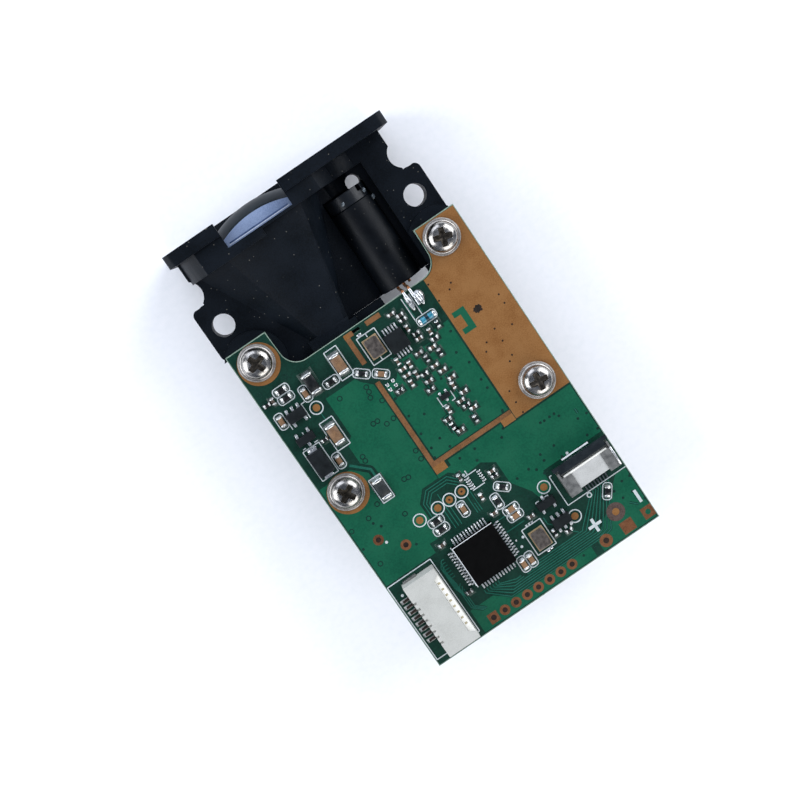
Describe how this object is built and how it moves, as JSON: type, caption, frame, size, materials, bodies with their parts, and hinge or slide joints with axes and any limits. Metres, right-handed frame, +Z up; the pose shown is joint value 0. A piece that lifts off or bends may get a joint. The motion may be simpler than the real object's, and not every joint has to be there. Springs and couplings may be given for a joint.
{
  "type": "laser distance scanner module",
  "caption": "Open-frame laser rangefinder: a black moulded optical bench with a large trimmed lens and a collimated laser, under a green board with a flip-lock cable connector.",
  "frame": {"origin": "under the middle of the module's outline, on the surface that it rests on", "axes": "+Y points out of the lenses along the long side, +Z up through the board, +X across to the laser's side"},
  "size_m": [0.04, 0.072, 0.018],
  "materials": {
    "bench_plastic": "fine moulded grain, slightly glossy",
    "lens_glass": "polished",
    "filter_glass": "coated",
    "window_glass": "polished",
    "gold_plate": "gold plated",
    "copper_lead": "copper, lightly tarnished",
    "black_tube": "turned, satin black",
    "black_cell": "satin black",
    "solder": "reflowed solder",
    "board_laminate": "green solder mask over glass laminate",
    "screw_steel": "nickel plated",
    "washer_steel": "nickel plated",
    "ceramic_tan": "fired ceramic",
    "resistor_black": "overglaze",
    "ferrite": "sintered ferrite",
    "tin_ends": "tin plated",
    "chip_epoxy": "moulded epoxy",
    "tin_leads": "tin plated",
    "crystal_ceramic": "fired ceramic",
    "crystal_metal": "nickel plated lid",
    "diode_glass": "glass",
    "connector_cream": "moulded nylon",
    "connector_tabs": "tin plated",
    "connector_white": "moulded nylon",
    "lever_black": "moulded nylon"
  },
  "bodies": {
    "module": {"amplifier_body": "chip_epoxy", "amplifier_leads": "tin_leads", "bandpass_filter": "filter_glass", "bead_bodies_1206": "ferrite", "capacitor_bodies_0402": "ceramic_tan", "capacitor_bodies_0603": "ceramic_tan", "capacitor_bodies_1206": "ceramic_tan", "chip_ends_0402": "tin_ends", "chip_ends_0603": "tin_ends", "chip_ends_1206": "tin_ends", "circuit_board": "board_laminate", "collimating_lens": "lens_glass", "collimator_cell": "black_cell", "collimator_ring": "black_cell", "crystal_bases": "crystal_ceramic", "crystal_lids": "crystal_metal", "detector_base": "gold_plate", "detector_cap": "gold_plate", "detector_leads": "copper_lead", "detector_window": "window_glass", "flex_connector_contacts": "tin_leads", "flex_connector_housing": "connector_white", "flex_connector_lugs": "connector_tabs", "glass_diode_body": "diode_glass", "glass_diode_ends": "tin_ends", "interface_chip_body": "chip_epoxy", "interface_chip_leads": "tin_leads", "laser_barrel": "black_tube", "laser_diode_base": "gold_plate", "laser_diode_cap": "gold_plate", "laser_diode_leads": "copper_lead", "laser_diode_window": "window_glass", "laser_lead_solder": "solder", "microcontroller_body": "chip_epoxy", "microcontroller_leads": "tin_leads", "mounting_screws": "screw_steel", "optical_bench": "bench_plastic", "power_diode_body": "chip_epoxy", "power_diode_tabs": "tin_leads", "receiving_lens": "lens_glass", "regulator_body": "chip_epoxy", "regulator_leads": "tin_leads", "resistor_bodies_0402": "resistor_black", "resistor_bodies_0603": "resistor_black", "screw_washers": "washer_steel", "transistor_bodies": "chip_epoxy", "transistor_leads": "tin_leads", "wire_connector_contacts": "tin_leads", "wire_connector_shell": "connector_cream", "wire_connector_tabs": "connector_tabs"},
    "lock_lever": {"flex_lock_lever": "lever_black"}
  },
  "joints": [
    {"name": "lock_lever_hinge", "type": "hinge", "parent": "module", "child": "lock_lever", "pos_m": [0.01505, -0.02195, 0.0157], "axis": [1, 0, 0], "range_deg": [0, 90]}
  ]
}
